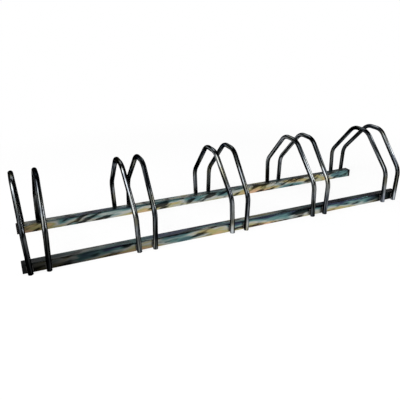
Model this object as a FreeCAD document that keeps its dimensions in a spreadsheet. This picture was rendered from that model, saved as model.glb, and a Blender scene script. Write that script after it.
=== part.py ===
import FreeCAD, Part
import math
import os
import Sketcher

# Floor bike rack for five bicycles, in millimetres.
# X runs along the rails, Y from the front of the rack to its back, Z up from the floor.
# The origin is on the floor, in the middle of the rack.
#
# Two square rails lie on the floor. Ten bent round tubes stand outside them in five pairs, and the
# two hoops of a pair lean apart, so that the slot for the wheel opens upwards. Each leg is welded to
# its rail in the two notches beside the line where the round tube meets the flat face. Plastic plugs
# close the ends of the rails.

SIZES = {
    # the row of wheel slots
    "slot_count": 5,
    "slot_pitch": 320.0,          # from the middle of one slot to the middle of the next
    "slot_centres": 51.5,         # between the centre lines of a slot's two hoops, at the floor
    "lean_angle": 1.9,            # of each hoop away from its slot, in degrees
    # the hoops
    "tube_diameter": 16.0,
    "tube_wall": 1.5,
    "hoop_height": 256.0,         # from the end of the leg to the top of the tube
    "leg_spacing": 316.0,         # between the centre lines of a hoop's two legs
    "shoulder_height": 120.0,     # where the lines of the leg and the slope meet
    "crown_width": 76.0,          # between the corners where the slopes meet the flat top
    "bend_radius": 55.0,          # of the tube's centre line
    "leg_bore_depth": 60.0,       # how far up the open end of a leg is hollow
    # the rails
    "rail_size": 30.0,
    "rail_wall": 1.5,
    "rail_corner": 2.5,           # outside corner radius
    "rail_overhang": 37.0,        # past the middle of the last slot
    "leg_gap": 0.2,               # left between a leg and its rail, and bridged by the welds
    # the weld beads
    "bead_length": 22.0,
    "bead_leg": 4.0,              # from the rail's face to the bead's edge on the tube
    "bead_toe": 1.5,              # on the rail's face, past the side of the tube
    "bead_root": 3.0,             # from the leg's middle to where the bead begins in the notch
    "bead_crown": 3.6,            # radius of the bead's rounded surface
    # the rail end plugs
    "plug_head": 10.0,
    "plug_edge": 2.0,             # rounding of the head's outer edge
    "plug_depth": 16.0,           # of the skirt inside the rail
    "plug_wall": 1.8,
    "plug_gap": 0.6,              # between the skirt and the rail's bore, filled by the ribs
    "plug_rib": 1.2,              # width of a rib on the skirt
    "plug_rib_spacing": 12.0,     # between the two ribs on one side of the skirt
}

# The rails' outer faces stand this far from the middle of the rack, just inside the legs.
RAIL_FACE = "((sizes.leg_spacing - sizes.tube_diameter) / 2 - sizes.leg_gap)"
RAIL_MIDDLE = f"({RAIL_FACE} - sizes.rail_size / 2)"
RAIL_LENGTH = "((sizes.slot_count - 1) * sizes.slot_pitch + 2 * sizes.rail_overhang)"
RAIL_BORE = "(sizes.rail_size - 2 * sizes.rail_wall)"
SKIRT_SIZE = f"({RAIL_BORE} - 2 * sizes.plug_gap)"

# A sketch counts a line's start, its end and an arc's centre from one up, and its two axes from
# minus one down. Its origin is the start of its level axis.
START, END, CENTRE = range(1, 4)
LEVEL_AXIS, UPRIGHT_AXIS = range(-1, -3, -1)
ORIGIN = (LEVEL_AXIS, START)

doc = FreeCAD.newDocument("floor_bike_rack")
sheet = doc.addObject("Spreadsheet::Sheet", "sizes")
for row, (name, value) in enumerate(SIZES.items(), start=1):
    sheet.set(f"A{row}", name)
    sheet.set(f"B{row}", str(value))
    sheet.setAlias(f"B{row}", name)
doc.recompute()

nodes = []


def new_body(label):
    body = doc.addObject("PartDesign::Body", label)
    body.Label = label
    nodes.append(body)
    return body


def origin_part(body, role):
    return (next(item for item in body.Origin.OriginFeatures if item.Role == role), "")


def new_sketch(body, name, role):
    """A sketch on one of the body's own origin planes."""
    sketch = body.newObject("Sketcher::SketchObject", f"{body.Name}_{name}")
    sketch.AttachmentSupport = [origin_part(body, role)]
    sketch.MapMode = "FlatFace"
    return sketch


def new_feature(body, kind, name, **settings):
    feature = body.newObject(f"PartDesign::{kind}", f"{body.Name}_{name}")
    for key, setting in settings.items():
        setattr(feature, key, setting)
    return feature


def place(body, x="0", y="0", z="0", axis=(0, 0, 1), turn="0"):
    """Puts a body in its place on the rack, turned about one axis."""
    body.Placement.Rotation = FreeCAD.Rotation(FreeCAD.Vector(*axis), 1)
    body.setExpression("Placement.Base.x", x)
    body.setExpression("Placement.Base.y", y)
    body.setExpression("Placement.Base.z", z)
    body.setExpression("Placement.Rotation.Angle", turn)


def constrain(sketch, kind, *refs):
    sketch.addConstraint(Sketcher.Constraint(kind, *refs))


def dimension(sketch, kind, refs, expression):
    """A dimension that follows the sheet. It starts at the size that is drawn."""
    if kind == "Radius":
        drawn = sketch.Geometry[refs[0]].Radius
    else:
        first = sketch.getPoint(refs[0], refs[1])
        second = sketch.getPoint(refs[2], refs[3])
        drawn = second.x - first.x if kind == "DistanceX" else second.y - first.y
        if drawn < 0:
            drawn = -drawn
            refs = refs[2:] + refs[:2]
    index = sketch.addConstraint(Sketcher.Constraint(kind, *refs, drawn))
    sketch.setExpression(f"Constraints[{index}]", expression)


def draw_line(sketch, first, last):
    return sketch.addGeometry(Part.LineSegment(first, last))


def draw_arc(sketch, centre, first, last):
    """The shorter arc from first to last. A sketch's arcs run anticlockwise, so it also gives back
    the numbers of the ends that lie at first and at last."""
    begin = math.atan2(first.y - centre.y, first.x - centre.x)
    finish = math.atan2(last.y - centre.y, last.x - centre.x)
    ends = (START, END)
    if (finish - begin) % math.tau > math.pi:
        begin, finish = finish, begin
        ends = (END, START)
    circle = Part.Circle(centre, FreeCAD.Vector(0, 0, 1), centre.distanceToPoint(first))
    sweep = (finish - begin) % math.tau
    return sketch.addGeometry(Part.ArcOfCircle(circle, begin, begin + sweep)), *ends


def draw_sides(sketch, low, high):
    """The four sides of a rectangle, level and upright in turn, from its low corner round."""
    corners = [low, FreeCAD.Vector(high.x, low.y), high, FreeCAD.Vector(low.x, high.y)]
    sides = [draw_line(sketch, *ends) for ends in zip(corners, corners[1:] + corners[:1])]
    for side, after in zip(sides, sides[1:] + sides[:1]):
        constrain(sketch, "Coincident", side, END, after, START)
    for level, upright in (sides[:2], sides[2:]):
        constrain(sketch, "Horizontal", level)
        constrain(sketch, "Vertical", upright)
    return sides


def draw_square(sketch, size):
    """A square about the sketch's origin. It is drawn at the rail's size, then follows the sheet."""
    half = SIZES["rail_size"] / 2
    sides = draw_sides(sketch, FreeCAD.Vector(-half, -half), FreeCAD.Vector(half, half))
    constrain(sketch, "Symmetric", sides[0], START, sides[2], START, *ORIGIN)
    dimension(sketch, "DistanceX", (sides[0], START, sides[0], END), size)
    dimension(sketch, "DistanceY", (sides[1], START, sides[1], END), size)


def edges_along_x(feature):
    """The long edges of a bar that was padded along X."""
    names = []
    for number, edge in enumerate(feature.Shape.Edges, start=1):
        ends = [vertex.Point for vertex in edge.Vertexes]
        along = ends[-1] - ends[0]
        if abs(along.x) > 0.9 * along.Length:
            names.append(f"Edge{number}")
    return names


# Rails. Each is a length of square tube with rounded corners, lying on the floor.

def make_rail(label, side):
    body = new_body(label)
    outline = new_sketch(body, "outline", "YZ_Plane")
    draw_square(outline, "sizes.rail_size")
    bar = new_feature(body, "Pad", "bar", Profile=outline, SideType="Symmetric")
    bar.setExpression("Length", RAIL_LENGTH)
    doc.recompute()
    corners = new_feature(body, "Fillet", "corners", Base=(bar, edges_along_x(bar)))
    corners.setExpression("Radius", "sizes.rail_corner")
    bore = new_sketch(body, "bore", "YZ_Plane")
    draw_square(bore, RAIL_BORE)
    new_feature(body, "Pocket", "hollow", Profile=bore, Type="ThroughAll", SideType="Symmetric")
    place(body, y=f"{side} * {RAIL_MIDDLE}", z="sizes.rail_size / 2")


# Rail end plugs. A square head closes the tube's end, and a thin skirt behind it grips the bore
# with two ribs on each of its four sides. The plug is drawn for the rail's +X end.

def make_plug(label, end, side):
    body = new_body(label)
    outline = new_sketch(body, "outline", "YZ_Plane")
    draw_square(outline, "sizes.rail_size")
    head = new_feature(body, "Pad", "head", Profile=outline)
    head.setExpression("Length", "sizes.plug_head")
    doc.recompute()
    corners = new_feature(body, "Fillet", "corners", Base=(head, edges_along_x(head)))
    corners.setExpression("Radius", "sizes.rail_corner")
    doc.recompute()
    outer = max(range(len(corners.Shape.Faces)), key=lambda n: corners.Shape.Faces[n].CenterOfMass.x)
    edge = new_feature(body, "Fillet", "edge", Base=(corners, [f"Face{outer + 1}"]))
    edge.setExpression("Radius", "sizes.plug_edge")
    ring = new_sketch(body, "ring", "YZ_Plane")
    draw_square(ring, SKIRT_SIZE)
    draw_square(ring, f"{SKIRT_SIZE} - 2 * sizes.plug_wall")
    skirt = new_feature(body, "Pad", "skirt", Profile=ring, Reversed=True)
    skirt.setExpression("Length", "sizes.plug_depth")
    lines = new_sketch(body, "lines", "YZ_Plane")
    for place_on_side in (-1, 1):
        draw_rib(lines, place_on_side)
    rib = new_feature(body, "Pad", "rib", Profile=lines, Reversed=True)
    rib.setExpression("Length", "sizes.plug_depth")
    ribs = new_feature(body, "PolarPattern", "ribs", Originals=[rib])
    ribs.Axis = origin_part(body, "X_Axis")
    ribs.Angle = 360
    ribs.Occurrences = 4
    body.Tip = ribs
    doc.recompute()
    place(
        body,
        x=f"{end} * {RAIL_LENGTH} / 2",
        y=f"{side} * {RAIL_MIDDLE}",
        z="sizes.rail_size / 2",
        turn="0" if end > 0 else "180",
    )


def draw_rib(sketch, place_on_side):
    """A rib on the skirt's upper side, from halfway into its wall to the wall of the rail's bore."""
    middle = place_on_side * SIZES["plug_rib_spacing"] / 2
    half = SIZES["plug_rib"] / 2
    bore = SIZES["rail_size"] / 2 - SIZES["rail_wall"]
    low = bore - SIZES["plug_gap"] - SIZES["plug_wall"] / 2
    sides = draw_sides(sketch, FreeCAD.Vector(middle - half, low), FreeCAD.Vector(middle + half, bore))
    near = (sides[1], START) if place_on_side < 0 else (sides[0], START)
    spacing = "sizes.plug_rib_spacing / 2 - sizes.plug_rib / 2"
    dimension(sketch, "DistanceX", (*ORIGIN, *near), spacing)
    dimension(sketch, "DistanceX", (sides[0], START, sides[0], END), "sizes.plug_rib")
    dimension(sketch, "DistanceY", (*ORIGIN, sides[0], START), f"{SKIRT_SIZE} / 2 - sizes.plug_wall / 2")
    dimension(sketch, "DistanceY", (*ORIGIN, sides[2], START), f"{RAIL_BORE} / 2")


# Wheel hoops. A hoop is one tube with four bends, drawn upright in its own YZ plane with the ends of
# its legs at Z = 0. The legs are cut square, so a leaning hoop stands on one edge of each end.

def draw_hoop_line(sketch):
    """The tube's centre line: runs and tangent bends up the front, over the top and down the back.
    The corners where the runs would meet are marked, because they carry the dimensions."""
    leg = SIZES["leg_spacing"] / 2
    crown = SIZES["crown_width"] / 2
    top = SIZES["hoop_height"] - SIZES["tube_diameter"] / 2
    corners = [
        FreeCAD.Vector(-leg, 0),
        FreeCAD.Vector(-leg, SIZES["shoulder_height"]),
        FreeCAD.Vector(-crown, top),
        FreeCAD.Vector(crown, top),
        FreeCAD.Vector(leg, SIZES["shoulder_height"]),
        FreeCAD.Vector(leg, 0),
    ]
    bends = []
    for before, corner, after in zip(corners, corners[1:], corners[2:]):
        back = (before - corner).normalize()
        ahead = (after - corner).normalize()
        half_angle = back.getAngle(ahead) / 2
        tangent = SIZES["bend_radius"] / math.tan(half_angle)
        centre = corner + (back + ahead).normalize() * (SIZES["bend_radius"] / math.sin(half_angle))
        bends.append((centre, corner + back * tangent, corner + ahead * tangent))
    starts = [corners[0]] + [last for centre, first, last in bends]
    finishes = [first for centre, first, last in bends] + [corners[-1]]
    runs = [draw_line(sketch, *ends) for ends in zip(starts, finishes)]
    arcs = [draw_arc(sketch, *bend) for bend in bends]
    marks = [sketch.addGeometry(Part.Point(corner), True) for corner in corners[1:-1]]

    for number, (arc, first, last) in enumerate(arcs):
        constrain(sketch, "Tangent", runs[number], END, arc, first)
        constrain(sketch, "Tangent", arc, last, runs[number + 1], START)
        constrain(sketch, "PointOnObject", marks[number], START, runs[number])
        constrain(sketch, "PointOnObject", marks[number], START, runs[number + 1])
    for (arc, _, _), (after, _, _) in zip(arcs, arcs[1:]):
        constrain(sketch, "Equal", arc, after)
    constrain(sketch, "Vertical", runs[0])
    constrain(sketch, "PointOnObject", runs[0], START, LEVEL_AXIS)
    constrain(sketch, "Symmetric", runs[0], START, runs[-1], END, UPRIGHT_AXIS)
    constrain(sketch, "Symmetric", marks[0], START, marks[3], START, UPRIGHT_AXIS)
    constrain(sketch, "Symmetric", marks[1], START, marks[2], START, UPRIGHT_AXIS)
    dimension(sketch, "Radius", (arcs[0][0],), "sizes.bend_radius")
    dimension(sketch, "DistanceX", (runs[0], START, runs[-1], END), "sizes.leg_spacing")
    dimension(sketch, "DistanceY", (*ORIGIN, marks[0], START), "sizes.shoulder_height")
    dimension(
        sketch, "DistanceY", (*ORIGIN, marks[1], START), "sizes.hoop_height - sizes.tube_diameter / 2"
    )
    dimension(sketch, "DistanceX", (marks[1], START, marks[2], START), "sizes.crown_width")


def draw_circle_on_leg(sketch, side, radius, diameter):
    """A circle about one leg's centre line, seen from above."""
    centre = FreeCAD.Vector(0, side * SIZES["leg_spacing"] / 2)
    circle = sketch.addGeometry(Part.Circle(centre, FreeCAD.Vector(0, 0, 1), radius))
    constrain(sketch, "PointOnObject", circle, CENTRE, UPRIGHT_AXIS)
    dimension(sketch, "DistanceY", (*ORIGIN, circle, CENTRE), "sizes.leg_spacing / 2")
    dimension(sketch, "Radius", (circle,), f"({diameter}) / 2")


def lean(body, slot, side):
    """Stands a body at its hoop's place and leans it away from the slot. The lift keeps the lower
    edge of the leg's square end on the floor."""
    place(
        body,
        x=f"({slot} - (sizes.slot_count - 1) / 2) * sizes.slot_pitch + {side} * sizes.slot_centres / 2",
        z="sizes.tube_diameter / 2 * sin(sizes.lean_angle * 1 deg)",
        axis=(0, side, 0),
        turn="sizes.lean_angle",
    )


def make_hoop(label, slot, side):
    body = new_body(label)
    line = new_sketch(body, "line", "YZ_Plane")
    draw_hoop_line(line)
    section = new_sketch(body, "section", "XY_Plane")
    draw_circle_on_leg(section, -1, SIZES["tube_diameter"] / 2, "sizes.tube_diameter")
    new_feature(body, "AdditivePipe", "tube", Profile=section, Spine=(line, []))
    ends = new_sketch(body, "ends", "XY_Plane")
    for leg in (-1, 1):
        bore_radius = SIZES["tube_diameter"] / 2 - SIZES["tube_wall"]
        draw_circle_on_leg(ends, leg, bore_radius, "sizes.tube_diameter - 2 * sizes.tube_wall")
    bores = new_feature(body, "Pocket", "bores", Profile=ends, Reversed=True)
    bores.setExpression("Length", "sizes.leg_bore_depth")
    lean(body, slot, side)


# Welds. Each leg has a bead in the notch on either side of the line where the tube meets the
# rail's flat face. The four beads of a hoop lean with it, so they run along its legs.

def draw_bead(sketch, side, leg):
    """The section of one bead: flat on the rail's face, hollow against the tube, rounded outside."""
    radius = SIZES["tube_diameter"] / 2
    leg_y = SIZES["leg_spacing"] / 2
    face_y = leg_y - radius - SIZES["leg_gap"]
    edge_y = face_y + SIZES["bead_leg"]
    edge_x = math.sqrt(radius ** 2 - (leg_y - edge_y) ** 2)
    inner_y = leg_y - math.sqrt(radius ** 2 - SIZES["bead_root"] ** 2)
    axis = FreeCAD.Vector(0, leg * leg_y)
    toe = FreeCAD.Vector(side * (radius + SIZES["bead_toe"]), leg * face_y)
    edge = FreeCAD.Vector(side * edge_x, leg * edge_y)
    inner = FreeCAD.Vector(side * SIZES["bead_root"], leg * inner_y)
    root = FreeCAD.Vector(side * SIZES["bead_root"], leg * face_y)
    chord = edge - toe
    across = FreeCAD.Vector(-chord.y, chord.x).normalize()
    if across.x * side > 0:
        across = across * -1
    depth = math.sqrt(SIZES["bead_crown"] ** 2 - (chord.Length / 2) ** 2)
    crown_centre = toe + chord * 0.5 + across * depth

    flat = draw_line(sketch, root, toe)
    crown, crown_toe, crown_edge = draw_arc(sketch, crown_centre, toe, edge)
    hollow, hollow_edge, hollow_inner = draw_arc(sketch, axis, edge, inner)
    start = draw_line(sketch, inner, root)
    constrain(sketch, "Coincident", flat, END, crown, crown_toe)
    constrain(sketch, "Coincident", crown, crown_edge, hollow, hollow_edge)
    constrain(sketch, "Coincident", hollow, hollow_inner, start, START)
    constrain(sketch, "Coincident", start, END, flat, START)
    constrain(sketch, "Horizontal", flat)
    constrain(sketch, "Vertical", start)
    constrain(sketch, "PointOnObject", hollow, CENTRE, UPRIGHT_AXIS)
    dimension(sketch, "DistanceY", (*ORIGIN, hollow, CENTRE), "sizes.leg_spacing / 2")
    dimension(sketch, "Radius", (hollow,), "sizes.tube_diameter / 2")
    dimension(sketch, "Radius", (crown,), "sizes.bead_crown")
    dimension(sketch, "DistanceY", (*ORIGIN, flat, START), RAIL_FACE)
    dimension(sketch, "DistanceX", (*ORIGIN, flat, START), "sizes.bead_root")
    dimension(sketch, "DistanceX", (*ORIGIN, flat, END), "sizes.tube_diameter / 2 + sizes.bead_toe")
    dimension(sketch, "DistanceY", (flat, END, crown, crown_edge), "sizes.bead_leg")


def make_welds(label, slot, side):
    body = new_body(label)
    sections = new_sketch(body, "sections", "XY_Plane")
    for leg in (-1, 1):
        for notch in (-1, 1):
            draw_bead(sections, notch, leg)
    sections.setExpression("AttachmentOffset.Base.z", "(sizes.rail_size - sizes.bead_length) / 2")
    beads = new_feature(body, "Pad", "beads", Profile=sections)
    beads.setExpression("Length", "sizes.bead_length")
    lean(body, slot, side)


# Each side of the rack is a sign along its axis: the front and the left are on the minus side.
DEPTHS = {"front": -1, "rear": 1}
ENDS = {"left": -1, "right": 1}

for depth_name, depth_side in DEPTHS.items():
    make_rail(f"{depth_name}_rail", depth_side)
    for end_name, end_side in ENDS.items():
        make_plug(f"{depth_name}_{end_name}_rail_plug", end_side, depth_side)

for slot_number in range(SIZES["slot_count"]):
    for hoop_name, hoop_side in ENDS.items():
        make_hoop(f"slot_{slot_number + 1}_{hoop_name}_hoop", slot_number, hoop_side)
        make_welds(f"slot_{slot_number + 1}_{hoop_name}_hoop_welds", slot_number, hoop_side)

doc.recompute()

# Nothing is written unless every object was made and every piece is a sound solid.
for item in doc.Objects:
    if "Invalid" in item.State or "Error" in item.State:
        raise RuntimeError(f"{item.Label} failed: {item.State}")
for node in nodes:
    if node.Shape.isNull() or not node.Shape.isValid() or node.Shape.Volume <= 0:
        raise RuntimeError(f"{node.Label} is not a sound solid")

os.makedirs("parts", exist_ok=True)
for node in nodes:
    node.Shape.exportStep(f"parts/{node.Label}.step")
    box = node.Shape.BoundBox
    print(
        f"{node.Label}: {len(node.Shape.Solids)} solid(s), {node.Shape.Volume:.0f} mm3, "
        f"X {box.XMin:.1f}..{box.XMax:.1f}, Y {box.YMin:.1f}..{box.YMax:.1f}, "
        f"Z {box.ZMin:.2f}..{box.ZMax:.2f}"
    )
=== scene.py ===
import math

import bmesh
import bpy
from mathutils import Matrix, Vector


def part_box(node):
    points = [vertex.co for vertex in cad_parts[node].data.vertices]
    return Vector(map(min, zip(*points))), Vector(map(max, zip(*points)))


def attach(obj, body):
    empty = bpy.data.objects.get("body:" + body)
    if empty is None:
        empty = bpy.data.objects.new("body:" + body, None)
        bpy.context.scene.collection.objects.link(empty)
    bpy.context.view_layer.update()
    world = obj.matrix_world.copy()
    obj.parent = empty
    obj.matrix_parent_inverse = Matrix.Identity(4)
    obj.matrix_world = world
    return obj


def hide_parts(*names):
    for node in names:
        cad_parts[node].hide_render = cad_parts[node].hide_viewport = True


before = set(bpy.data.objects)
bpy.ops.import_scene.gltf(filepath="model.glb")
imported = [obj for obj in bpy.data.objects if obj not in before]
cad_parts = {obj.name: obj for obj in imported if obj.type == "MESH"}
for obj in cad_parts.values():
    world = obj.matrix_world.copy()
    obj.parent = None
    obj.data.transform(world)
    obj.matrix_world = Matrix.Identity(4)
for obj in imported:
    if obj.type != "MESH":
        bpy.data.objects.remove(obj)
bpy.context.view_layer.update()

# Rails. Two lengths of cold-rolled square steel tube lie on the floor and carry the whole rack. They
# are zinc plated and passivated in a bath, which leaves the bright metal with blue, teal, olive and
# tan tints that drift along the bar.

RAIL_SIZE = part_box("front_rail")[1].z      # all sizes are in metres
RAIL_FACE = -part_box("front_rail")[0].y     # from the rack's middle to the face that the legs stand against


def linear(hex_colour):
    """A colour written as sRGB hex, as the linear values that a shader takes."""
    channels = [int(hex_colour[i:i + 2], 16) / 255 for i in (1, 3, 5)]
    return [c / 12.92 if c <= 0.04045 else ((c + 0.055) / 1.055) ** 2.4 for c in channels] + [1]


def add_node(owner, kind, values=None, links=None, stops=(), **settings):
    """Adds one shader node to a material or a world, with its settings, its sockets' values, the
    outputs that its sockets are linked to, and its colour stops."""
    node = owner.node_tree.nodes.new(kind)
    for name, setting in settings.items():
        setattr(node, name, setting)
    for socket, value in (values or {}).items():
        node.inputs[socket].default_value = value
    for socket, source in (links or {}).items():
        owner.node_tree.links.new(source, node.inputs[socket])
    for number, (place, colour) in enumerate(stops):
        elements = node.color_ramp.elements
        stop = elements[number] if number < 2 else elements.new(place)
        stop.position = place
        stop.color = linear(colour)
    return node


def start_material(name):
    """A material that has no nodes yet."""
    material = bpy.data.materials.new(name)
    material.use_nodes = True
    material.node_tree.nodes.clear()
    return material


# The tints run in long drifts. The film is thicker towards the lower edge, where the bath drained off.
# The plate is painted darker towards the rack's front left corner, painted shade for the dark room that
# is mirrored in that end. The front right end is darker too, for a shorter way.
TINT_LENGTH = 0.16
STAIN_LENGTH = 0.07
STRETCH = 0.22                 # width of a drift or a stain, as a share of its length
STAIN_SHADE = 0.08             # share of the colour that a stain leaves; the other shades are shares too
AWAY_FROM_NEAR_LEFT = (1.0, 0.9, 2.5)         # away from the front left corner, the way along which the painted shade fades
NEAR_LEFT_PLACE = -0.77                 # the front left corner's place along that way
EVEN_FROM = -0.10              # the place from which the painted shade is gone
RAIL_NEAR_LEFT_SHADE = 0.03
FRONT_RIGHT_WAY = (1.0, -0.5, 0.0)  # towards the front right end
FRONT_RIGHT_DARK_FROM = 0.58         # places along that way between which the plate darkens
FRONT_RIGHT_DARKEST = 0.70
FRONT_RIGHT_SHADE = 0.06
RAIL_CORNER = 0.0025
EDGE_FADE = 0.004              # height below the upper corners over which painted shade fades in, for the dark room mirrored in the top
EDGE_SHADE = 0.6
NOISE_LOW = 0.3                # a noise seldom leaves the range between these two
NOISE_HIGH = 0.7
WAVE_LENGTH = 0.045            # rolling leaves the faces slightly wavy
WAVE_HEIGHT = 0.00035
GRAIN = 0.0011                 # the plate's grain is some hundredths of a millimetre; drawn coarser to show


def plate_rail(name, drain_shift, stain_slant, stain_from, stain_to):
    """The plate on one rail. Its film moves drain_shift up the tints' scale for each metre down. Its
    stains climb the faces at stain_slant, as the bar came out of the bath aslant, and they are darkest
    where their noise is below stain_from and gone where it is above stain_to."""
    rail_plate = start_material(f"passivated_zinc_plate_on_{name}")
    rail_place = add_node(rail_plate, "ShaderNodeTexCoord")
    rail_drift = add_node(
        rail_plate, "ShaderNodeMapping",
        values={"Scale": (STRETCH, 1, 1)},
        links={"Vector": rail_place.outputs["Object"]},
    )
    rail_tint_noise = add_node(
        rail_plate, "ShaderNodeTexNoise",
        values={"Scale": 1 / (TINT_LENGTH * STRETCH), "Detail": 3, "Roughness": 0.5, "Distortion": 0.3},
        links={"Vector": rail_drift.outputs["Vector"]},
    )
    rail_spot = add_node(rail_plate, "ShaderNodeSeparateXYZ", links={"Vector": rail_place.outputs["Object"]})
    rail_drain = add_node(
        rail_plate, "ShaderNodeMapRange",
        values={
            "From Min": 0, "From Max": RAIL_SIZE,
            "To Min": drain_shift * RAIL_SIZE / 2, "To Max": -drain_shift * RAIL_SIZE / 2,
        },
        links={"Value": rail_spot.outputs["Z"]},
    )
    rail_film = add_node(
        rail_plate, "ShaderNodeMath", operation="ADD",
        links={0: rail_tint_noise.outputs["Fac"], 1: rail_drain.outputs["Result"]},
    )
    rail_tints = add_node(
        rail_plate, "ShaderNodeValToRGB",
        links={"Fac": rail_film.outputs["Value"]},
        stops=(
            (0.34, "#394158"),       # navy, where the film is thinnest
            (0.43, "#5e8583"),       # teal
            (0.51, "#b3b5b0"),       # the bare grey of the zinc
            (0.59, "#a5a06c"),       # olive yellow
            (0.69, "#cda888"),       # tan, where it is thickest
        ),
    )
    rail_stain_drift = add_node(
        rail_plate, "ShaderNodeMapping", vector_type="TEXTURE",
        values={"Rotation": (0, -stain_slant, 0), "Scale": (1 / STRETCH, 1, 1)},
        links={"Vector": rail_place.outputs["Object"]},
    )
    rail_stain_noise = add_node(
        rail_plate, "ShaderNodeTexNoise",
        values={"Scale": 1 / (STAIN_LENGTH * STRETCH), "Detail": 3, "Roughness": 0.5},
        links={"Vector": rail_stain_drift.outputs["Vector"]},
    )
    rail_stains = add_node(
        rail_plate, "ShaderNodeMapRange",
        values={"From Min": stain_from, "From Max": stain_to, "To Min": STAIN_SHADE, "To Max": 1},
        links={"Value": rail_stain_noise.outputs["Fac"]},
    )
    rail_from_near_left = add_node(
        rail_plate, "ShaderNodeVectorMath", operation="DOT_PRODUCT",
        values={1: AWAY_FROM_NEAR_LEFT}, links={0: rail_place.outputs["Object"]},
    )
    # Painted shade towards the front left corner, for the dark room mirrored in that end.
    rail_near_left_dark = add_node(
        rail_plate, "ShaderNodeMapRange", interpolation_type="SMOOTHSTEP",
        values={"From Min": NEAR_LEFT_PLACE, "From Max": EVEN_FROM, "To Min": RAIL_NEAR_LEFT_SHADE, "To Max": 1},
        links={"Value": rail_from_near_left.outputs["Value"]},
    )
    rail_front_right_way = add_node(
        rail_plate, "ShaderNodeVectorMath", operation="DOT_PRODUCT",
        values={1: FRONT_RIGHT_WAY}, links={0: rail_place.outputs["Object"]},
    )
    # The plate is darker towards the front right end.
    rail_front_right_dark = add_node(
        rail_plate, "ShaderNodeMapRange", interpolation_type="SMOOTHSTEP",
        values={
            "From Min": FRONT_RIGHT_DARK_FROM, "From Max": FRONT_RIGHT_DARKEST,
            "To Min": 1, "To Max": FRONT_RIGHT_SHADE,
        },
        links={"Value": rail_front_right_way.outputs["Value"]},
    )
    # Painted shade on the top face and the upper corners, for the dark room mirrored in them.
    rail_top_painted_shade = add_node(
        rail_plate, "ShaderNodeMapRange", interpolation_type="SMOOTHSTEP",
        values={
            "From Min": RAIL_SIZE - RAIL_CORNER - EDGE_FADE, "From Max": RAIL_SIZE - RAIL_CORNER,
            "To Min": 1, "To Max": EDGE_SHADE,
        },
        links={"Value": rail_spot.outputs["Z"]},
    )
    rail_ends = add_node(
        rail_plate, "ShaderNodeMath", operation="MULTIPLY",
        links={0: rail_near_left_dark.outputs["Result"], 1: rail_front_right_dark.outputs["Result"]},
    )
    rail_shade = add_node(
        rail_plate, "ShaderNodeMath", operation="MULTIPLY",
        links={0: rail_stains.outputs["Result"], 1: rail_top_painted_shade.outputs["Result"]},
    )
    rail_depth = add_node(
        rail_plate, "ShaderNodeMath", operation="MULTIPLY",
        links={0: rail_shade.outputs["Value"], 1: rail_ends.outputs["Value"]},
    )
    rail_colour = add_node(
        rail_plate, "ShaderNodeVectorMath", operation="SCALE",
        links={0: rail_tints.outputs["Color"], "Scale": rail_depth.outputs["Value"]},
    )
    rail_gloss = add_node(
        rail_plate, "ShaderNodeMapRange",
        values={"From Min": NOISE_LOW, "From Max": NOISE_HIGH, "To Min": 0.26, "To Max": 0.42},
        links={"Value": rail_stain_noise.outputs["Fac"]},
    )
    rail_wave_noise = add_node(
        rail_plate, "ShaderNodeTexNoise",
        values={"Scale": 1 / WAVE_LENGTH, "Detail": 1},
        links={"Vector": rail_drift.outputs["Vector"]},
    )
    rail_grain_noise = add_node(
        rail_plate, "ShaderNodeTexNoise",
        values={"Scale": 1 / GRAIN, "Detail": 2},
        links={"Vector": rail_drift.outputs["Vector"]},
    )
    rail_waves = add_node(
        rail_plate, "ShaderNodeBump",
        values={"Strength": 1, "Distance": WAVE_HEIGHT},
        links={"Height": rail_wave_noise.outputs["Fac"]},
    )
    rail_relief = add_node(
        rail_plate, "ShaderNodeBump",
        values={"Strength": 0.15, "Distance": GRAIN / 20},
        links={"Height": rail_grain_noise.outputs["Fac"], "Normal": rail_waves.outputs["Normal"]},
    )
    rail_finish = add_node(
        rail_plate, "ShaderNodeBsdfPrincipled",
        values={"Metallic": 1},
        links={
            "Base Color": rail_colour.outputs["Vector"],
            "Roughness": rail_gloss.outputs["Result"],
            "Normal": rail_relief.outputs["Normal"],
        },
    )
    add_node(rail_plate, "ShaderNodeOutputMaterial", links={"Surface": rail_finish.outputs["BSDF"]})
    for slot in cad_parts[name].material_slots:
        slot.material = rail_plate


plate_rail("front_rail", drain_shift=7.5, stain_slant=math.radians(5), stain_from=0.37, stain_to=0.49)
plate_rail("rear_rail", drain_shift=4.0, stain_slant=math.radians(17), stain_from=0.41, stain_to=0.51)

# Rail end plugs. A black polyethylene plug is pushed into each end of a rail. Its head is moulded with
# rounded edges and a fine spark-eroded grain, which makes the black soft rather than glossy.

PLUGS = [f"{rail}_{end}_rail_plug" for rail in ("front", "rear") for end in ("left", "right")]
EROSION_GRAIN = 0.0012         # a few tenths of a millimetre on the real plug; drawn coarser to show

plug_plastic = start_material("moulded_black_polyethylene")
plug_place = add_node(plug_plastic, "ShaderNodeTexCoord")
plug_grain = add_node(
    plug_plastic, "ShaderNodeTexNoise",
    values={"Scale": 1 / EROSION_GRAIN, "Detail": 3, "Roughness": 0.6},
    links={"Vector": plug_place.outputs["Object"]},
)
plug_shades = add_node(
    plug_plastic, "ShaderNodeValToRGB",
    links={"Fac": plug_grain.outputs["Fac"]},
    stops=((0.35, "#050506"), (0.65, "#0d0e0f")),
)
plug_relief = add_node(
    plug_plastic, "ShaderNodeBump",
    values={"Strength": 0.3, "Distance": EROSION_GRAIN / 10},
    links={"Height": plug_grain.outputs["Fac"]},
)
plug_finish = add_node(
    plug_plastic, "ShaderNodeBsdfPrincipled",
    values={"Roughness": 0.6, "Specular IOR Level": 0.08},
    links={"Base Color": plug_shades.outputs["Color"], "Normal": plug_relief.outputs["Normal"]},
)
add_node(plug_plastic, "ShaderNodeOutputMaterial", links={"Surface": plug_finish.outputs["BSDF"]})

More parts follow.
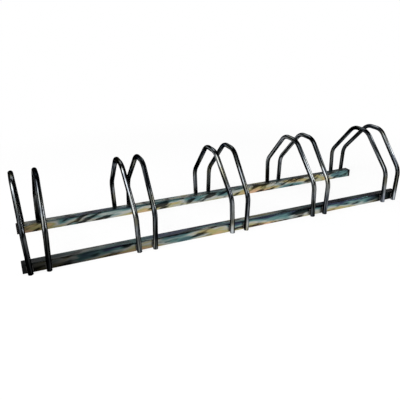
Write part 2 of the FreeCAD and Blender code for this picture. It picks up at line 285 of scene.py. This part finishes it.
for name in PLUGS:
    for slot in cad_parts[name].material_slots:
        slot.material = plug_plastic

# Wheel hoops. Each is one length of 16 mm round steel tube, sawn square, bent four times over a
# former and plated after welding. The tube flattens a little in its bends, is hollow from end to end,
# and keeps fine lines along it from the drawing die.

SLOTS = 5
SIDES = {"left": -1, "right": 1}
TUBE_RADIUS = 0.008
TUBE_WALL = 0.0015
LEAN = math.radians(1.9)
SHOULDER_HEIGHT = 0.120
CROWN_WIDTH = 0.076
BEND_RADIUS = 0.055
BEND_STEPS = 18
RUN_STEP = 0.012
AROUND = 40
BURR_EDGE = 0.0004             # broken by a file after sawing
SAWN_FACE = 0.9                # a face at a foot whose normal is steeper than this is the sawn end
FLATTENING = 0.035             # share of its depth that the tube loses in the middle of a bend
LIFT = TUBE_RADIUS * math.sin(LEAN)        # stands the lower side of the leaning foot on the floor

hoop_low, hoop_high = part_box("slot_1_left_hoop")
LEG = (hoop_high.y - hoop_low.y) / 2 - TUBE_RADIUS
CROWN_HEIGHT = (hoop_high.z - TUBE_RADIUS - LIFT) / math.cos(LEAN)


def hoop_stations():
    """Stations along the tube's centre line, up the front leg, over the crown and down the rear leg.
    Each has its distance along the tube, its place, its direction and how far into a bend it is."""
    corners = [
        Vector((0, -LEG, 0)),
        Vector((0, -LEG, SHOULDER_HEIGHT)),
        Vector((0, -CROWN_WIDTH / 2, CROWN_HEIGHT)),
        Vector((0, CROWN_WIDTH / 2, CROWN_HEIGHT)),
        Vector((0, LEG, SHOULDER_HEIGHT)),
        Vector((0, LEG, 0)),
    ]
    stations = []
    along = 0
    run_start = corners[0]

    def add_run(start, finish):
        """Adds the stations of a straight run, all but its last."""
        steps = max(1, round((finish - start).length / RUN_STEP))
        for step in range(steps):
            share = step / steps
            place = start.lerp(finish, share)
            stations.append((along + (place - start).length, place, (finish - start).normalized(), 0))

    for before, corner, after in zip(corners, corners[1:], corners[2:]):
        back = (before - corner).normalized()
        ahead = (after - corner).normalized()
        half_angle = back.angle(ahead) / 2
        bend_start = corner + back * (BEND_RADIUS / math.tan(half_angle))
        centre = corner + (back + ahead).normalized() * (BEND_RADIUS / math.sin(half_angle))
        turn = math.pi - 2 * half_angle
        add_run(run_start, bend_start)
        along += (bend_start - run_start).length
        for step in range(BEND_STEPS):
            share = step / BEND_STEPS
            spin = Matrix.Rotation(-turn * share, 3, "X")
            place = centre + spin @ (bend_start - centre)
            stations.append(
                (along + BEND_RADIUS * turn * share, place, spin @ -back, math.sin(math.pi * share) ** 2)
            )
        along += BEND_RADIUS * turn
        run_start = centre + Matrix.Rotation(-turn, 3, "X") @ (bend_start - centre)
    add_run(run_start, corners[-1])
    along += (corners[-1] - run_start).length
    stations.append((along, corners[-1], (corners[-1] - run_start).normalized(), 0))
    return stations


def hoop_mesh(name, cut_at):
    """The hollow tube, upright in the YZ plane, and its length. Each point also keeps its place on the
    straight stock that the hoop was cut from at cut_at, where the pattern of its plate is laid out."""
    stations = hoop_stations()
    length = stations[-1][0]
    mesh = bmesh.new()
    straight = mesh.verts.layers.float_vector.new("straight")
    across = Vector((1, 0, 0))

    def add_ring(station, radius):
        """Adds the points round one station, which are flattened where the tube bends."""
        along, place, direction, bend = station
        depth = direction.cross(across)
        ring = []
        for number in range(AROUND):
            angle = math.tau * number / AROUND
            wide = radius * (1 + bend * FLATTENING / 2) * math.cos(angle)
            deep = radius * (1 - bend * FLATTENING) * math.sin(angle)
            point = mesh.verts.new(place + across * wide + depth * deep)
            point[straight] = (radius * math.cos(angle), radius * math.sin(angle), cut_at + along)
            ring.append(point)
        return ring

    def shifted(station, shift):
        """The station, moved along its direction."""
        along, place, direction, bend = station
        return along, place + direction * shift, direction, bend

    first = stations[0]
    last = stations[-1]
    outside = [add_ring(first, TUBE_RADIUS - BURR_EDGE), add_ring(shifted(first, BURR_EDGE), TUBE_RADIUS)]
    outside += [add_ring(station, TUBE_RADIUS) for station in stations[1:-1]]
    outside += [add_ring(shifted(last, -BURR_EDGE), TUBE_RADIUS), add_ring(last, TUBE_RADIUS - BURR_EDGE)]
    inside = [add_ring(station, TUBE_RADIUS - TUBE_WALL) for station in stations]
    rings = outside + inside[::-1]
    for ring, after in zip(rings, rings[1:] + rings[:1]):
        for number in range(AROUND):
            following = (number + 1) % AROUND
            mesh.faces.new((ring[number], ring[following], after[following], after[number]))
    bmesh.ops.recalc_face_normals(mesh, faces=mesh.faces)
    for face in mesh.faces:
        face.smooth = abs(face.normal.z) < SAWN_FACE or face.calc_center_median().z > TUBE_RADIUS
    data = bpy.data.meshes.new(name)
    mesh.to_mesh(data)
    mesh.free()
    return data, length


# On the smooth drawn tube the plate is near black and glossy, with paler streaks where the bath drained
# off along it. The feet are painted paler, a painted highlight for the white floor mirrored in them. A band
# low on the side of a leg that faces the rail is painted shade, for the rail and the floor mirrored there.
DRAWN_LINE = 0.0009            # a tenth of a millimetre on the real tube; drawn coarser to show
DRAWN_STRETCH = 0.02           # width of a drawn line, as a share of its length
STREAK_WIDTH = 0.006
STREAK_STRETCH = 0.04
BLOTCH_LENGTH = 0.09           # faint blotches, bluish or yellowish
LEG_SHADE_MIDDLE = 0.040           # height where the painted shade is darkest, above the beads
LEG_SHADE_REACH = 0.035
LEG_SHADE_ROUND = 2.2              # the painted shade fades this many times faster round the tube than along it
LEG_SHADE_SHARE = 0.12
FOOT_TOP = 0.045               # a foot is painted palest up to half this height
FOOT_PALER = 2.4               # times as pale as the rest of the tube
TUBE_NEAR_LEFT_SHADE = 0.04

tube_plate = start_material("zinc_plate_on_drawn_round_tube")
tube_place = add_node(tube_plate, "ShaderNodeAttribute", attribute_name="straight")
tube_drift = add_node(
    tube_plate, "ShaderNodeMapping",
    values={"Scale": (1, 1, DRAWN_STRETCH)},
    links={"Vector": tube_place.outputs["Vector"]},
)
tube_line_noise = add_node(
    tube_plate, "ShaderNodeTexNoise",
    values={"Scale": 1 / DRAWN_LINE, "Detail": 2},
    links={"Vector": tube_drift.outputs["Vector"]},
)
tube_run = add_node(
    tube_plate, "ShaderNodeMapping",
    values={"Scale": (1, 1, STREAK_STRETCH)},
    links={"Vector": tube_place.outputs["Vector"]},
)
tube_streak_noise = add_node(
    tube_plate, "ShaderNodeTexNoise",
    values={"Scale": 1 / STREAK_WIDTH, "Detail": 2, "Roughness": 0.5},
    links={"Vector": tube_run.outputs["Vector"]},
)
tube_streaks = add_node(
    tube_plate, "ShaderNodeValToRGB",
    links={"Fac": tube_streak_noise.outputs["Fac"]},
    stops=((0.40, "#08090b"), (0.51, "#373c3f"), (0.62, "#83878a")),
)
tube_blotch_noise = add_node(
    tube_plate, "ShaderNodeTexNoise",
    values={"Scale": 1 / BLOTCH_LENGTH, "Detail": 2, "Roughness": 0.6},
    links={"Vector": tube_place.outputs["Vector"]},
)
tube_blotches = add_node(
    tube_plate, "ShaderNodeValToRGB",
    links={"Fac": tube_blotch_noise.outputs["Fac"]},
    stops=((0.38, "#b2b3bb"), (0.50, "#ffffff"), (0.62, "#d0c8b0")),
)
tube_spot = add_node(tube_plate, "ShaderNodeTexCoord")
tube_height = add_node(
    tube_plate, "ShaderNodeSeparateXYZ", links={"Vector": tube_spot.outputs["Object"]}
)
tube_round = add_node(
    tube_plate, "ShaderNodeSeparateXYZ", links={"Vector": tube_place.outputs["Vector"]}
)
# The distance from the middle of the painted shade, on the hoop's inner side, which faces the rails.
# That side is where Y is greatest on the straight stock.
tube_rail_side = add_node(
    tube_plate, "ShaderNodeCombineXYZ",
    links={"Y": tube_round.outputs["Y"], "Z": tube_height.outputs["Z"]},
)
tube_from_leg_shade = add_node(
    tube_plate, "ShaderNodeMapping",
    values={
        "Scale": (0, LEG_SHADE_ROUND, 1),
        "Location": (0, -LEG_SHADE_ROUND * TUBE_RADIUS, -LEG_SHADE_MIDDLE),
    },
    links={"Vector": tube_rail_side.outputs["Vector"]},
)
tube_away = add_node(
    tube_plate, "ShaderNodeVectorMath", operation="LENGTH",
    links={0: tube_from_leg_shade.outputs["Vector"]},
)
# The feet are painted paler: a painted highlight, the white floor mirrored in the lowest part of each leg.
tube_foot = add_node(
    tube_plate, "ShaderNodeMapRange", interpolation_type="SMOOTHSTEP",
    values={"From Min": FOOT_TOP / 2, "From Max": FOOT_TOP, "To Min": FOOT_PALER, "To Max": 1},
    links={"Value": tube_height.outputs["Z"]},
)
# The tubes get the same painted shade towards the front left corner, for the dark room mirrored there.
tube_from_near_left = add_node(
    tube_plate, "ShaderNodeVectorMath", operation="DOT_PRODUCT",
    values={1: AWAY_FROM_NEAR_LEFT}, links={0: tube_spot.outputs["Object"]},
)
tube_near_left_dark = add_node(
    tube_plate, "ShaderNodeMapRange", interpolation_type="SMOOTHSTEP",
    values={"From Min": NEAR_LEFT_PLACE, "From Max": EVEN_FROM, "To Min": TUBE_NEAR_LEFT_SHADE, "To Max": 1},
    links={"Value": tube_from_near_left.outputs["Value"]},
)
# Painted shade low on each leg's rail side, for the rail and the shaded floor mirrored there.
tube_leg_shade = add_node(
    tube_plate, "ShaderNodeMapRange", interpolation_type="SMOOTHSTEP",
    values={"From Min": 0, "From Max": LEG_SHADE_REACH, "To Min": LEG_SHADE_SHARE, "To Max": 1},
    links={"Value": tube_away.outputs["Value"]},
)
tube_shade = add_node(
    tube_plate, "ShaderNodeVectorMath", operation="MULTIPLY",
    links={0: tube_streaks.outputs["Color"], 1: tube_blotches.outputs["Color"]},
)
tube_ends = add_node(
    tube_plate, "ShaderNodeMath", operation="MULTIPLY",
    links={0: tube_foot.outputs["Result"], 1: tube_near_left_dark.outputs["Result"]},
)
tube_depth = add_node(
    tube_plate, "ShaderNodeMath", operation="MULTIPLY",
    links={0: tube_leg_shade.outputs["Result"], 1: tube_ends.outputs["Value"]},
)
tube_colour = add_node(
    tube_plate, "ShaderNodeVectorMath", operation="SCALE",
    links={0: tube_shade.outputs["Vector"], "Scale": tube_depth.outputs["Value"]},
)
tube_gloss = add_node(
    tube_plate, "ShaderNodeMapRange",
    values={"From Min": NOISE_LOW, "From Max": NOISE_HIGH, "To Min": 0.12, "To Max": 0.24},
    links={"Value": tube_blotch_noise.outputs["Fac"]},
)
tube_relief = add_node(
    tube_plate, "ShaderNodeBump",
    values={"Strength": 0.2, "Distance": DRAWN_LINE / 20},
    links={"Height": tube_line_noise.outputs["Fac"]},
)
tube_finish = add_node(
    tube_plate, "ShaderNodeBsdfPrincipled",
    values={"Metallic": 1, "Specular Tint": linear("#101010")},    # keeps the tube's outlines black
    links={
        "Base Color": tube_colour.outputs["Vector"],
        "Roughness": tube_gloss.outputs["Result"],
        "Normal": tube_relief.outputs["Normal"],
    },
)
add_node(tube_plate, "ShaderNodeOutputMaterial", links={"Surface": tube_finish.outputs["BSDF"]})


def hoop_stand(node, side):
    """Where a hoop stands and how it leans. Its foot is at the side of its node's box that faces the
    slot, because the two hoops of a pair lean apart."""
    low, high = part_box(node)
    foot = high.x - TUBE_RADIUS * math.cos(LEAN) if side < 0 else low.x + TUBE_RADIUS * math.cos(LEAN)
    return Matrix.Translation((foot, 0, LIFT)) @ Matrix.Rotation(side * LEAN, 4, "Y")


cut_at = 0                     # one hoop is cut after the other, so that no two have the same streaks
for slot in range(1, SLOTS + 1):
    for side_name, side in SIDES.items():
        node = f"slot_{slot}_{side_name}_hoop"
        data, length = hoop_mesh(f"{node}_tube", cut_at)
        cut_at += length
        data.materials.append(tube_plate)
        data.transform(hoop_stand(node, side))
        tube = bpy.data.objects.new(f"{node}_tube", data)
        bpy.context.scene.collection.objects.link(tube)
        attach(tube, "root")
        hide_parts(node)

# Welds. A short bead of mild steel wire lies in the notch on either side of each leg, run upwards by
# hand in a row of overlapping ripples and plated over with the rest, which leaves it dull.

BEAD_LENGTH = 0.022
BEAD_LEG = 0.0040              # how far a bead reaches from the rail's face along the leg
BEAD_TOE = 0.0015              # how far it reaches along the rail past the side of the leg
BEAD_ROOT = 0.0030             # how near to the leg's middle it fills the notch
BEAD_BULGE = 0.0009
BEAD_TAPER = 0.0025            # length in which each end rounds off
BEAD_START = 0.45              # share of its full section that a bead starts and ends with
RIPPLE_PITCH = 0.0018
RIPPLE_HEIGHT = 0.00022
RIPPLE_SAG = 0.7               # share of its pitch that a ripple sags by in the middle
BEAD_STEPS = 72
CROWN_STEPS = 10


def add_bead(mesh, notch, leg):
    """One bead, upright in the notch to one side (-1 or 1) of the front (-1) or rear (1) leg. Its
    ripples sag in the middle, as the molten steel did."""
    toe = Vector((TUBE_RADIUS + BEAD_TOE, RAIL_FACE))
    edge_y = RAIL_FACE + BEAD_LEG
    edge = Vector((math.sqrt(TUBE_RADIUS ** 2 - (LEG - edge_y) ** 2), edge_y))
    outward = Vector(((edge - toe).y, -(edge - toe).x)).normalized()
    inner = Vector((BEAD_ROOT, LEG - math.sqrt(TUBE_RADIUS ** 2 - BEAD_ROOT ** 2)))
    root = Vector((BEAD_ROOT, RAIL_FACE))
    bottom = (RAIL_SIZE - BEAD_LENGTH) / 2
    rings = []
    for step in range(BEAD_STEPS + 1):
        run = BEAD_LENGTH * step / BEAD_STEPS
        from_end = min(run, BEAD_LENGTH - run)
        fullness = math.sqrt(1 - (1 - min(1, from_end / BEAD_TAPER)) ** 2)
        points = []
        for number in range(CROWN_STEPS + 1):
            share = number / CROWN_STEPS
            arch = math.sin(math.pi * share)
            phase = (run + RIPPLE_PITCH * RIPPLE_SAG * arch) / RIPPLE_PITCH % 1
            ripple = RIPPLE_HEIGHT * arch * (1 - (2 * phase - 1) ** 2)
            crown = toe.lerp(edge, share) + outward * (arch * BEAD_BULGE + ripple)
            points.append(root.lerp(crown, BEAD_START + (1 - BEAD_START) * fullness))
        points += [inner, root]
        rings.append([
            mesh.verts.new((notch * point.x, leg * point.y, bottom + run)) for point in points
        ])
    for ring, after in zip(rings, rings[1:]):
        for number in range(len(ring)):
            following = (number + 1) % len(ring)
            mesh.faces.new((ring[number], ring[following], after[following], after[number]))
    mesh.faces.new(rings[0])
    mesh.faces.new(rings[-1][::-1])


SPATTER = 0.0012               # the specks of spatter and burnt plate

bead_plate = start_material("zinc_plate_on_weld_steel")
bead_place = add_node(bead_plate, "ShaderNodeTexCoord")
bead_noise = add_node(
    bead_plate, "ShaderNodeTexNoise",
    values={"Scale": 1 / SPATTER, "Detail": 3, "Roughness": 0.6},
    links={"Vector": bead_place.outputs["Object"]},
)
bead_shades = add_node(
    bead_plate, "ShaderNodeValToRGB",
    links={"Fac": bead_noise.outputs["Fac"]},
    stops=((0.35, "#2c2c2b"), (0.65, "#545250")),
)
bead_relief = add_node(
    bead_plate, "ShaderNodeBump",
    values={"Strength": 0.4, "Distance": SPATTER / 10},
    links={"Height": bead_noise.outputs["Fac"]},
)
bead_finish = add_node(
    bead_plate, "ShaderNodeBsdfPrincipled",
    values={"Metallic": 1, "Roughness": 0.42},
    links={"Base Color": bead_shades.outputs["Color"], "Normal": bead_relief.outputs["Normal"]},
)
add_node(bead_plate, "ShaderNodeOutputMaterial", links={"Surface": bead_finish.outputs["BSDF"]})

for slot in range(1, SLOTS + 1):
    for side_name, side in SIDES.items():
        hoop = f"slot_{slot}_{side_name}_hoop"
        mesh = bmesh.new()
        for leg in (-1, 1):
            for notch in (-1, 1):
                add_bead(mesh, notch, leg)
        bmesh.ops.recalc_face_normals(mesh, faces=mesh.faces)
        data = bpy.data.meshes.new(f"{hoop}_beads")
        mesh.to_mesh(data)
        mesh.free()
        data.shade_smooth()
        data.materials.append(bead_plate)
        data.transform(hoop_stand(hoop, side))
        beads = bpy.data.objects.new(f"{hoop}_beads", data)
        bpy.context.scene.collection.objects.link(beads)
        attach(beads, "root")
        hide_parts(f"{hoop}_welds")

# Studio. The rack stands on a matt white sweep that fills the picture. One large softbox hangs over its
# front left side, and weaker ones over its right and its back, with a small dim panel further behind.
# Above the sweep's edge the room is dark.

FLOOR_SIZE = 80
SHADOWED_REACH = 0.8           # within this distance the sweep shows the rack's shadow
SHADOWED_GLOW = 0.85           # share of the white that it gives off by itself there
WHITE_FROM = 1.6               # beyond this distance it is plain white

floor_mesh = bmesh.new()
bmesh.ops.create_grid(floor_mesh, x_segments=1, y_segments=1, size=FLOOR_SIZE / 2)
floor_data = bpy.data.meshes.new("studio_floor")
floor_mesh.to_mesh(floor_data)
floor_mesh.free()
floor = bpy.data.objects.new("studio_floor", floor_data)
bpy.context.scene.collection.objects.link(floor)

sweep_paint = start_material("matt_white_sweep")
sweep_finish = add_node(
    sweep_paint, "ShaderNodeBsdfPrincipled",
    values={"Base Color": linear("#f2f2f2"), "Roughness": 0.9, "Specular IOR Level": 0},
)
sweep_ray = add_node(sweep_paint, "ShaderNodeLightPath")
sweep_seen = add_node(
    sweep_paint, "ShaderNodeMath", operation="MAXIMUM",
    links={0: sweep_ray.outputs["Is Camera Ray"], 1: sweep_ray.outputs["Is Glossy Ray"]},
)
sweep_seen_at_all = add_node(
    sweep_paint, "ShaderNodeMath", operation="MAXIMUM",
    links={0: sweep_seen.outputs["Value"], 1: sweep_ray.outputs["Is Transmission Ray"]},
)
sweep_place = add_node(sweep_paint, "ShaderNodeTexCoord")
sweep_distance = add_node(
    sweep_paint, "ShaderNodeVectorMath", operation="LENGTH", links={0: sweep_place.outputs["Object"]}
)
sweep_glow = add_node(
    sweep_paint, "ShaderNodeMapRange", interpolation_type="SMOOTHSTEP",
    values={"From Min": SHADOWED_REACH, "From Max": WHITE_FROM, "To Min": SHADOWED_GLOW, "To Max": 1},
    links={"Value": sweep_distance.outputs["Value"]},
)
sweep_share = add_node(
    sweep_paint, "ShaderNodeMath", operation="MULTIPLY",
    links={0: sweep_seen_at_all.outputs["Value"], 1: sweep_glow.outputs["Result"]},
)
sweep_white = add_node(sweep_paint, "ShaderNodeEmission", values={"Color": (1, 1, 1, 1), "Strength": 1})
sweep_mix = add_node(
    sweep_paint, "ShaderNodeMixShader",
    links={
        "Fac": sweep_share.outputs["Value"],
        1: sweep_finish.outputs["BSDF"],
        2: sweep_white.outputs["Emission"],
    },
)
add_node(sweep_paint, "ShaderNodeOutputMaterial", links={"Surface": sweep_mix.outputs["Shader"]})
floor_data.materials.append(sweep_paint)

# The room is white up to the top of the sweep and dark above it.
SWEEP_TOP = 0.14               # the sine of the angle upwards, 8 degrees
DARK_FROM = 0.32               # 19 degrees

room = bpy.data.worlds.new("studio_room")
room.use_nodes = True
room.node_tree.nodes.clear()
room_direction = add_node(room, "ShaderNodeTexCoord")
room_height = add_node(
    room, "ShaderNodeSeparateXYZ", links={"Vector": room_direction.outputs["Generated"]}
)
room_shades = add_node(
    room, "ShaderNodeValToRGB",
    links={"Fac": room_height.outputs["Z"]},
    stops=((SWEEP_TOP, "#ffffff"), (DARK_FROM, "#2a2a2c")),
)
room_light = add_node(
    room, "ShaderNodeBackground", values={"Strength": 1}, links={"Color": room_shades.outputs["Color"]}
)
add_node(room, "ShaderNodeOutputWorld", links={"Surface": room_light.outputs["Background"]})
bpy.context.scene.world = room

RACK_MIDDLE = Vector((0, 0, 0.1))


def add_softbox(name, place, size, watts):
    """A softbox of a given width and height that faces the rack's middle."""
    lamp = bpy.data.lights.new(name, "AREA")
    lamp.shape = "RECTANGLE"
    lamp.size, lamp.size_y = size
    lamp.energy = watts
    box = bpy.data.objects.new(name, lamp)
    aim = RACK_MIDDLE - Vector(place)
    box.rotation_euler = aim.to_track_quat("-Z", "Y").to_euler()
    box.location = place
    bpy.context.scene.collection.objects.link(box)


add_softbox("key_softbox", place=(-2.2, -1.5, 2.3), size=(3.0, 3.0), watts=160)
add_softbox("fill_softbox", place=(2.4, -1.2, 2.0), size=(1.2, 1.2), watts=45)
add_softbox("back_softbox", place=(0.3, 2.4, 2.6), size=(3.0, 2.4), watts=35)
add_softbox("low_panel", place=(0.1, 3.2, 2.05), size=(1.6, 0.5), watts=2.2)

# Camera. It stands in front of the rack's left end, 0.7 m above the floor, and looks down and to the
# right along the rack.

CAMERA_PLACE = (-0.6627, -1.3919, 0.7080)
CAMERA_YAW = math.radians(22.872)      # from +Y towards +X
CAMERA_PITCH = math.radians(23.038)    # downwards
CAMERA_ROLL = math.radians(-0.535)     # about the line of sight
SENSOR_WIDTH = 36                      # this and the focal length are in millimetres
FOCAL_LENGTH = 41.871
SEES_UP_TO = 200                       # metres, well past the edge of the floor

camera = bpy.data.cameras.new("camera")
camera.sensor_width = SENSOR_WIDTH
camera.lens = FOCAL_LENGTH
camera.clip_end = SEES_UP_TO
ahead = Vector((
    math.sin(CAMERA_YAW) * math.cos(CAMERA_PITCH),
    math.cos(CAMERA_YAW) * math.cos(CAMERA_PITCH),
    -math.sin(CAMERA_PITCH),
))
level = Vector((math.cos(CAMERA_YAW), -math.sin(CAMERA_YAW), 0))
upright = level.cross(ahead)
right = math.cos(CAMERA_ROLL) * level + math.sin(CAMERA_ROLL) * upright
up = -math.sin(CAMERA_ROLL) * level + math.cos(CAMERA_ROLL) * upright
stand = bpy.data.objects.new("camera", camera)
stand.matrix_world = Matrix.Translation(CAMERA_PLACE) @ Matrix((right, up, -ahead)).transposed().to_4x4()
bpy.context.scene.collection.objects.link(stand)
bpy.context.scene.camera = stand
bpy.context.scene.view_settings.view_transform = "Standard"
